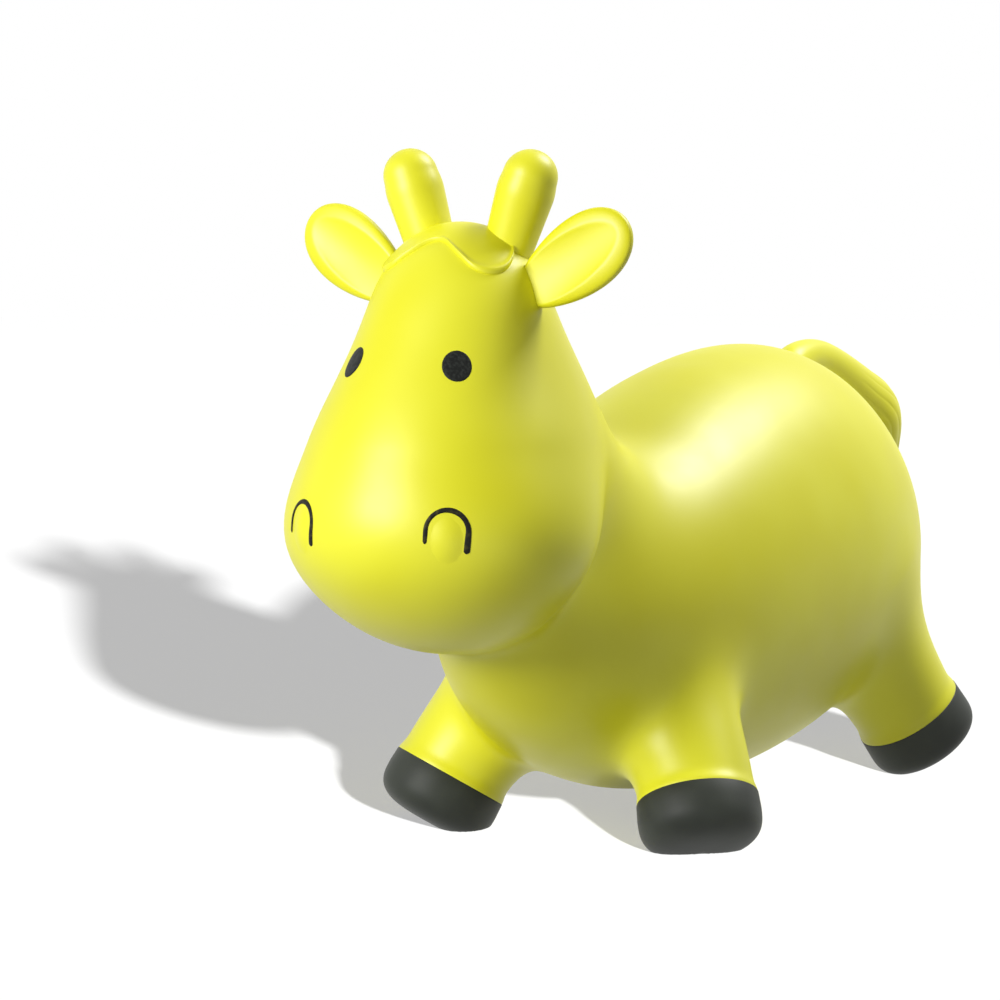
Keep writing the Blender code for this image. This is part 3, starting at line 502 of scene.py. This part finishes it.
turns = np.linspace(0, math.pi/2, HOOF_RINGS)
rim_profile = [(HOOF_RIM_RADIUS, -HOOF_EDGE), (HOOF_RIM_RADIUS-HOOF_EDGE/3, -HOOF_EDGE/4),
               (HOOF_RIM_RADIUS-HOOF_EDGE, 0), (HOOF_RIM_RADIUS-HOOF_EDGE*4, 0), (0, 0)]
for corner, leg in legs.items():
    end = leg["end"]
    across = HOOF_RADIUS*np.sin(turns)**(2/HOOF_SQUARENESS[end])
    down = HOOF_DOMES[end]*np.clip(np.cos(turns), 0, 1)**(2/HOOF_SQUARENESS[end])
    dome_profile = [*zip(across, HOOF_DOMES[end]-HOOF_DEPTHS[end]-down)]
    rings = turned_rings(dome_profile+rim_profile, leg["rim"], leg["axis"], HOOF_SPINS)
    rings[..., 2] = np.maximum(rings[..., 2], 0)
    hoof = add_rings("hoof_"+corner+"_paint", rings)
    hoof.data.materials.append(hoof_material)
    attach(hoof, leg["hoof"])
    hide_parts("hoof_"+corner)

# Forelock
# A cap of moulded hair over the poll, part of the casting, that stands a few millimetres proud of the
# brow. Its wavy edge is parted in the middle, hangs low over each eye and is rounded over by the mould.
FORELOCK_HEIGHT = 0.0015
FORELOCK_LIP = 0.0010
FORELOCK_EDGES = (0.926, 0.911, 0.862, 0.803, 0.779, 0.790, 0.835, 0.885, 0.90, 0.90, 0.89, 0.88, 0.87,
                  0.86, 0.86)
FORELOCK_ROUNDING = 0.055
FORELOCK_SINK = 0.2
FORELOCK_LIP_PLACE = 0.8
FORELOCK_LIP_SPREAD = 0.7
FORELOCK_SPINS = 240
FORELOCK_RINGS = 40


def head_surface(directions):
    """Points of the plain head along unit directions of its half sizes."""
    width, face, back, lean = stations(directions[:, 2], HEAD_WIDTHS, HEAD_FACES, HEAD_BACKS, HEAD_LEANS)
    x = directions[:, 0]*width
    y = lean+directions[:, 1]*np.where(directions[:, 1] < 0, face, back)
    return HEAD_CENTRE+np.stack([x, y, directions[:, 2]*HEAD_HALF_HEIGHT], axis=1)


def raised(points, heights):
    """Points moved onto the skin and then out from it by these heights."""
    points = onto(skin_distance, points, 3)
    return points+unit(slope_of(skin_distance, points))*heights[:, None]


spin = np.linspace(-math.pi, math.pi, FORELOCK_SPINS, endpoint=False)
edge = np.arccos(stations(spin/math.pi, FORELOCK_EDGES[:0:-1]+FORELOCK_EDGES)[0])
share = np.sin(np.linspace(0, math.pi/2, FORELOCK_RINGS))[:, None]
polar = share*edge
inset = np.clip((1-share)/FORELOCK_ROUNDING, 0, 4)
lip = FORELOCK_LIP*np.exp(-((inset-FORELOCK_LIP_PLACE)/FORELOCK_LIP_SPREAD)**2)
rounding = np.sqrt(1-np.clip(1-inset, 0, 1)**2)
heights = (FORELOCK_HEIGHT*(rounding*(1+FORELOCK_SINK)-FORELOCK_SINK)+lip)*np.ones_like(polar)
directions = np.stack([np.sin(spin)*np.sin(polar), -np.cos(spin)*np.sin(polar), np.cos(polar)], axis=-1)
cap = raised(head_surface(directions.reshape(-1, 3)), heights.ravel()).reshape(directions.shape)
forelock = add_rings("forelock_cap", cap)
forelock.data.materials.append(skin_material)
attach(forelock, "skin")
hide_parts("forelock")

# Ears
# Two paddle ears of the same soft skin, each with a thick rounded rim, a dished face and a narrow root
# that bends on the head.
EAR_HALF_LENGTH = 0.0426
EAR_HALF_WIDTH = 0.0229
EAR_HALF_THICKNESS = 0.0063
EAR_FLARE = 0.22
EAR_ROOT_SHARE = 0.62
EAR_ROOT_TUCK = 0.14
EAR_AXIS = (0.837, 0.062, 0.544)
EAR_FACING = (0.011, -0.995, 0.096)
EAR_SQUARENESS = 3.0
EAR_DISH_DEPTH = 0.0036
EAR_DISH_SHARES = (0.92, 0.70)
EAR_DISH_ALONG = -0.08
EAR_RINGS = 64
EAR_SPINS = 96


def limb_rings(points, radii, rings, spins):
    """Rings of a round-ended tube about a line of points, with its radius at each point.

    Path and radius follow cubics through the points; beyond the ends the radius falls as a circle's does.
    """
    points, radii = np.array(points, dtype=float), np.array(radii, dtype=float)
    first, last = radii[0], radii[-1]
    run = np.concatenate([[0], np.cumsum(np.linalg.norm(np.diff(points, axis=0), axis=1))])
    along = (1-np.cos(np.linspace(0, math.pi, rings)))/2*(first+run[-1]+last)-first
    station = np.interp(along, run, np.arange(len(points)))*2/(len(points)-1)-1
    path = stations(station, *points.T).T
    heading = unit(stations(station+0.01, *points.T).T-stations(station-0.01, *points.T).T)
    before, after = np.clip(-along, 0, first), np.clip(along-run[-1], 0, last)
    ends = np.sqrt(np.clip(1-(before/first)**2, 0, 1)*np.clip(1-(after/last)**2, 0, 1))
    radius = stations(station, radii)[0]*ends
    path = path+heading*(after-before)[:, None]
    side = unit([1.0, 0, 0]-heading*heading[:, :1])
    over = np.cross(side, heading)
    spin = np.linspace(0, 2*math.pi, spins, endpoint=False)[None, :, None]
    return path[:, None]+(side[:, None]*np.cos(spin)+over[:, None]*np.sin(spin))*radius[:, None, None]


def joint_of(body):
    """The joint that a body moves on."""
    return next(joint for joint in frame["joints"] if joint["child"] == body)


def mirrored(shares, side):
    """Shares of a direction on the left (+1) or right (-1) of the toy."""
    return np.array([shares[0]*side, shares[1], shares[2]])


turn = np.linspace(0, math.pi, EAR_RINGS)[:, None]
spin = np.linspace(0, 2*math.pi, EAR_SPINS, endpoint=False)
flat, thick = np.sin(turn), np.cos(turn)
scale = (flat**EAR_SQUARENESS+np.abs(thick)**EAR_SQUARENESS)**(1/EAR_SQUARENESS)
ear_along = np.maximum(flat*np.cos(spin)/scale, -EAR_ROOT_SHARE-EAR_ROOT_TUCK)*EAR_HALF_LENGTH
ear_across = flat*np.sin(spin)/scale*EAR_HALF_WIDTH*(1+EAR_FLARE*ear_along/EAR_HALF_LENGTH)
ear_up = thick/scale*EAR_HALF_THICKNESS*np.ones_like(spin)
dish = np.hypot((ear_along/EAR_HALF_LENGTH-EAR_DISH_ALONG)/EAR_DISH_SHARES[0],
                ear_across/EAR_HALF_WIDTH/EAR_DISH_SHARES[1])
ear_up = ear_up-np.where(ear_up > 0, EAR_DISH_DEPTH*np.clip(1-dish**2, 0, 1)**0.8, 0)
for side, hand in ((1, "left"), (-1, "right")):
    root = np.array(joint_of("ear_"+hand)["pos_m"])
    axis = unit(mirrored(EAR_AXIS, side))
    facing = mirrored(EAR_FACING, side)
    facing = unit(facing-axis*(facing @ axis))
    beside = np.cross(facing, axis)
    centre = root+axis*EAR_HALF_LENGTH*EAR_ROOT_SHARE
    paddle = centre+ear_along[..., None]*axis+ear_across[..., None]*beside+ear_up[..., None]*facing
    ear = add_rings("ear_"+hand+"_paddle", paddle)
    ear.data.materials.append(skin_material)
    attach(ear, "ear_"+hand)
    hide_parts("ear_"+hand)

# Horns
# Two blunt hollow horns of the same skin, a little fatter at the tip than at the root, that flop on the
# poll between the ears.
HORN_RADII = (0.0154, 0.0160, 0.0166, 0.0172, 0.0176, 0.0166)
HORN_SINK = -0.22
HORN_REACH = 0.0338
HORN_RINGS = 60
HORN_SPINS = 72
HORN_AXIS = (0.330, 0.012, 0.944)
for side, hand in ((1, "left"), (-1, "right")):
    root = np.array(joint_of("horn_"+hand)["pos_m"])
    axis = unit(mirrored(HORN_AXIS, side))
    line = [root+axis*HORN_REACH*share for share in np.linspace(HORN_SINK, 1, len(HORN_RADII))]
    horn = add_rings("horn_"+hand+"_skin", limb_rings(line, HORN_RADII, HORN_RINGS, HORN_SPINS))
    horn.data.materials.append(skin_material)
    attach(horn, "horn_"+hand)
    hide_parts("horn_"+hand)

# Tail
# A fat hollow tuft of the same skin, arched off the rump, with fine lines of hair pressed into its end.
TAIL_REACH = 0.1250
TAIL_ALONG_SHARES = (-0.14, 0.0, 0.31, 0.73, 0.95, 1.03)
TAIL_UP_SHARES = (-0.11, 0.0, -0.01, -0.215, -0.38, -0.64)
TAIL_RADII = (0.0140, 0.0122, 0.0132, 0.0204, 0.0254, 0.0191)
TAIL_GROOVE_DEPTH = 0.0007
TAIL_GROOVES = 16
TAIL_GROOVE_SPAN = (0.50, 0.95)
TAIL_RINGS = 120
TAIL_SPINS = 192
root = np.array(joint_of("tail")["pos_m"])
line = [root+TAIL_REACH*np.array([0, along, up]) for along, up in zip(TAIL_ALONG_SHARES, TAIL_UP_SHARES)]
rings = limb_rings(line, TAIL_RADII, TAIL_RINGS, TAIL_SPINS)
middles = rings.mean(axis=1, keepdims=True)
outward = rings-middles
radius = np.linalg.norm(outward, axis=-1, keepdims=True)
share = np.linspace(0, 1, TAIL_RINGS)[:, None, None]
spin = np.linspace(0, 2*math.pi, TAIL_SPINS, endpoint=False)[None, :, None]
groove = np.abs(np.sin(spin*TAIL_GROOVES/2+0.8*np.sin(share*5)))**0.4-1
pressed = np.sin(np.interp(share, TAIL_GROOVE_SPAN, (0, math.pi)))**0.7
rings = rings+outward/np.maximum(radius, 1e-6)*groove*pressed*TAIL_GROOVE_DEPTH
tail = add_rings("tail_tuft", rings)
tail.data.materials.append(skin_material)
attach(tail, "tail")
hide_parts("tail")

# Face
# Eyes and nostril arches are matt near-black paint, pressed on by hand, so they lie a hair above the
# skin. Inside each arch the mould leaves a soft oval bump.
EYE_HALF_SIZES = (0.0088, 0.0100)
PAINT_HEIGHT = 0.0006
PAINT_SINK = 0.3
PAINT_RINGS = 20
PAINT_SPINS = 64
ARCH_RADIUS = 0.0125
ARCH_LEGS = (0.0085, 0.0125)
ARCH_TILT = math.radians(-5)
ARCH_HALF_WIDTH = 0.00145
ARCH_DROP = 0.0010
ARCH_GROWTH = 0.50
ARCH_EVEN_SHARE = 0.4
ARCH_WAVE = 0.08
ARCH_WAVE_RATE = 260
ARCH_RINGS = 120
ARCH_SPINS = 16
BUMP_HALF_SIZES = (0.0104, 0.0150)
BUMP_HEIGHT = 0.0011
BUMP_RISE = 0.0025
BUMP_SINK = 0.1
PAINT_SPECULAR = 0.15
EYE_DARK = (0.005, 0.006, 0.005, 1)
EYE_PALE = (0.022, 0.025, 0.022, 1)
LINE_DARK = (0.006, 0.006, 0.005, 1)
LINE_PALE = (0.050, 0.046, 0.012, 1)


def face_frame(node):
    """A painted node's place on the skin, and the level and rising directions there."""
    low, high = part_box(node)
    middle = onto(skin_distance, ((np.array(low)+np.array(high))/2)[None], 4)
    normal = unit(slope_of(skin_distance, middle))[0]
    level = unit(np.cross([0, 0, 1], normal))
    return middle[0], level, np.cross(normal, level)


def on_face(node, across, up, heights):
    """Points at distances across and up from a painted node's middle, and at heights above the skin."""
    middle, level, rising = face_frame(node)
    flat = middle+across[..., None]*level+up[..., None]*rising
    return raised(flat.reshape(-1, 3), heights.ravel()).reshape(flat.shape)


eye_material, place, sockets = new_material("eye_paint", 0.50)
sockets["Specular IOR Level"].default_value = PAINT_SPECULAR
place.cloud(500).step(0.35, 0.7).colours(EYE_DARK, EYE_PALE).into(sockets["Base Color"])
line_material, place, sockets = new_material("nostril_line_paint", 0.55)
sockets["Specular IOR Level"].default_value = PAINT_SPECULAR
place.cloud(300).step(0.45, 0.75).colours(LINE_DARK, LINE_PALE).into(sockets["Base Color"])

spin = np.linspace(0, 2*math.pi, PAINT_SPINS, endpoint=False)
share = np.sin(np.linspace(0, math.pi/2, PAINT_RINGS))[:, None]
ones = np.ones_like(spin)
for hand in ("left", "right"):
    heights = PAINT_HEIGHT*((1+PAINT_SINK)*np.sqrt(1-share**2)**0.5-PAINT_SINK)*ones
    eye = add_rings("eye_"+hand+"_paint", on_face("eye_"+hand, EYE_HALF_SIZES[0]*share*np.cos(spin),
                                                  EYE_HALF_SIZES[1]*share*np.sin(spin), heights))
    eye.data.materials.append(eye_material)
    heights = BUMP_HEIGHT*((1+BUMP_SINK)*(1-share**2)**1.5-BUMP_SINK)*ones
    bump = add_rings("nostril_bump_"+hand+"_skin",
                     on_face("nostril_bump_"+hand, BUMP_HALF_SIZES[0]*share*np.cos(spin),
                             BUMP_RISE+BUMP_HALF_SIZES[1]*share*np.sin(spin), heights))
    bump.data.materials.append(skin_material)
    for piece, node, slot in ((eye, "eye_"+hand, "face_paint"), (bump, "nostril_bump_"+hand, "skin")):
        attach(piece, "skin")
        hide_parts(node)

bend = math.pi*ARCH_RADIUS
length = bend+sum(ARCH_LEGS)
along = (1-np.cos(np.linspace(0, math.pi, ARCH_RINGS)))[:, None]/2*length
section = np.linspace(0, 2*math.pi, ARCH_SPINS, endpoint=False)
ending = np.sqrt(np.clip(np.minimum(along, length-along)/ARCH_HALF_WIDTH, 0, 1))
growth = 1+ARCH_GROWTH*(along/length-ARCH_EVEN_SHARE)+ARCH_WAVE*np.sin(along*ARCH_WAVE_RATE)
offset = np.cos(section)*ARCH_HALF_WIDTH*ending*growth
turn = np.clip((along-ARCH_LEGS[0])/ARCH_RADIUS, 0, math.pi)
beyond = np.clip(ARCH_LEGS[0]-along, 0, None)+np.clip(along-bend-ARCH_LEGS[0], 0, None)
straight = -np.cos(turn)*(ARCH_RADIUS+offset)
rise = np.sin(turn)*(ARCH_RADIUS+offset)-beyond
arch_across = straight*math.cos(ARCH_TILT)-rise*math.sin(ARCH_TILT)
arch_up = straight*math.sin(ARCH_TILT)+rise*math.cos(ARCH_TILT)-ARCH_DROP
heights = PAINT_HEIGHT*np.sin(section)*ending
for hand in ("left", "right"):
    node = "nostril_arch_"+hand
    arch = add_rings(node+"_paint", on_face(node, arch_across, arch_up, heights))
    arch.data.materials.append(line_material)
    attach(arch, "skin")
    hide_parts(node)

# Valve
# A round seat of firmer PVC welded into the underside between the hind legs, and the stopper pressed into
# its bore, with a small tab to pull it by.
SEAT_PROFILE = ((0.0052, -0.0138), (0.0052, 0.0016), (0.0056, 0.0020), (0.0129, 0.0020), (0.0134, 0.0015),
                (0.0135, 0.0008), (0.0135, -0.0018), (0.0082, -0.0020), (0.0082, -0.0140), (0.0056, -0.0140),
                (0.0052, -0.0138))
PLUG_PROFILE = ((0, -0.0107), (0.0034, -0.0107), (0.0049, -0.0083), (0.0049, 0.0023), (0.0100, 0.0023),
                (0.0105, 0.0028), (0.0105, 0.0035), (0.0099, 0.0041), (0, 0.0041))
TAB_HALF_SIZES = (0.0060, 0.0010)
TAB_RISE = 0.0045
TAB_RINGS = 24
TAB_SPINS = 48
VALVE_SPINS = 64
VALVE_PLACE = (0, 0.27174, 0.0904)
VALVE_AXIS = (0, 0.62942, -0.77707)
VALVE_BRIGHT = (0.80, 0.82, 0.060, 1)
VALVE_DEEP = (0.68, 0.71, 0.035, 1)
valve_material, place, sockets = new_material("valve_rubber", 0.45)
place.cloud(60).step(0.3, 0.7).colours(VALVE_DEEP, VALVE_BRIGHT).into(sockets["Base Color"])
origin = np.array(VALVE_PLACE)
axis = unit(VALVE_AXIS)
seat = add_rings("valve_seat_ring", turned_rings(SEAT_PROFILE, origin, axis, VALVE_SPINS))
turn = np.linspace(0, math.pi, TAB_RINGS)[:, None]
flat, thick = np.sin(turn), np.cos(turn)
spin = np.linspace(0, 2*math.pi, TAB_SPINS, endpoint=False)
scale = (flat**4+thick**4)**0.25
side = np.array([1.0, 0, 0])
over = np.cross(axis, side)
spread = flat/scale*TAB_HALF_SIZES[0]*np.sign(np.cos(spin))*np.abs(np.cos(spin))**0.5
depth = flat/scale*TAB_HALF_SIZES[1]*np.sign(np.sin(spin))*np.abs(np.sin(spin))**0.5
rise = PLUG_PROFILE[-1][1]+thick/scale*TAB_RISE*np.ones_like(spin)
tab = origin+spread[..., None]*side+depth[..., None]*over+rise[..., None]*axis
plug = add_rings("valve_plug_stopper", turned_rings(PLUG_PROFILE, origin, axis, VALVE_SPINS), tab)
for piece, body, node in ((seat, "skin", "valve_seat"), (plug, "valve_plug", "valve_plug")):
    piece.data.materials.append(valve_material)
    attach(piece, body)
    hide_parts(node)

# Floor and lights
# A white seamless floor that fades into a white room. One soft box in front lights the face and leaves the
# throat and the shoulder in shade, one above and behind lights the back, and a low lamp that lights the
# floor alone draws the long shadow to the left.
FLOOR_COLOUR = (0.95, 0.95, 0.95, 1)
FLOOR_BOUNCE = (0.15, 0.15, 0.15, 1)
FLOOR_GLOW = 0.45
FADE_START = 3.0
FADE_END = 6.0
ROOM_LIGHT = 0.03
TOY_MIDDLE = np.array([0, -0.10, 0.20])
LAMP_DISTANCE = 2.2
grid = np.array([(-12, -12, 0), (12, -12, 0), (12, 12, 0), (-12, 12, 0)], dtype=float)
floor = add_piece("floor", grid, np.array([[0, 1, 2, 3]]))
floor_material, place, sockets = new_material("floor", 0.9)


def seen_by_eye(start):
    """One for rays from the camera, straight or by way of a gloss or glass, and zero for others."""
    kinds = ("Is Camera Ray", "Is Glossy Ray", "Is Transmission Ray")
    straight, glossy, through = [start.node("ShaderNodeLightPath", {}, {}, kind) for kind in kinds]
    return (straight+glossy+through).step(0, 1)


seen = seen_by_eye(place)
seen.colours(FLOOR_BOUNCE, FLOOR_COLOUR).into(sockets["Base Color"])
tree = floor_material.node_tree
shader = Value(tree, tree.nodes["Principled BSDF"].outputs[0])
away = place.node("ShaderNodeVectorMath", {"operation": "LENGTH"}, {0: place}, "Value")
glow = FLOOR_GLOW+(1-FLOOR_GLOW)*away.step(FADE_START, FADE_END)
white = place.node("ShaderNodeEmission", {}, {"Color": (1, 1, 1, 1), "Strength": 1.0})
mixed = place.node("ShaderNodeMixShader", {}, {0: seen*glow, 1: shader, 2: white})
mixed.into(tree.nodes["Material Output"].inputs["Surface"])
floor.data.materials.append(floor_material)

world = bpy.data.worlds.new("studio")
world.use_nodes = True
bpy.context.scene.world = world
background = world.node_tree.nodes["Background"].inputs
background["Color"].default_value = (1, 1, 1, 1)
(ROOM_LIGHT+(1-ROOM_LIGHT)*seen_by_eye(Value(world.node_tree))).into(background["Strength"])


def add_lamp(name, kind, way, power, size):
    """A lamp that looks at the toy from a way off; its size is an angle where it is a sun."""
    light = bpy.data.lights.new(name, kind)
    light.energy = power
    if kind == "SUN":
        light.angle = size
    else:
        light.size = size
    lamp = bpy.data.objects.new(name, light)
    lamp.location = Vector(TOY_MIDDLE+unit(way)*LAMP_DISTANCE)
    lamp.rotation_euler = Vector(way).to_track_quat("Z", "Y").to_euler()
    bpy.context.scene.collection.objects.link(lamp)
    return lamp


floor_only = bpy.data.collections.new("floor_only")
floor_only.objects.link(floor)
toy_only = bpy.data.collections.new("toy_only")
for piece in bpy.context.scene.objects:
    if piece.type == "MESH" and piece is not floor:
        toy_only.objects.link(piece)
face_box = add_lamp("face_box", "AREA", (-0.28, -0.95, 0.34), 46, 0.9)
flank_box = add_lamp("flank_box", "AREA", (0.35, 0.55, 0.80), 47, 0.9)
floor_lamp = add_lamp("floor_lamp", "SUN", (1.25, -1.30, 0.438), 14.0, 0.030)
face_box.light_linking.receiver_collection = toy_only
flank_box.light_linking.receiver_collection = toy_only
floor_lamp.light_linking.receiver_collection = floor_only

camera = bpy.data.objects.new("camera", bpy.data.cameras.new("camera"))
camera.location = (1.1779, -2.2004, 0.4634)
camera.rotation_euler = (math.radians(90-5.878), 0, math.radians(29.5))
camera.data.sensor_width = 36
camera.data.lens = 137.27
camera.data.shift_x = -0.0651
bpy.context.scene.collection.objects.link(camera)
bpy.context.scene.camera = camera
bpy.context.scene.view_settings.view_transform = "Standard"
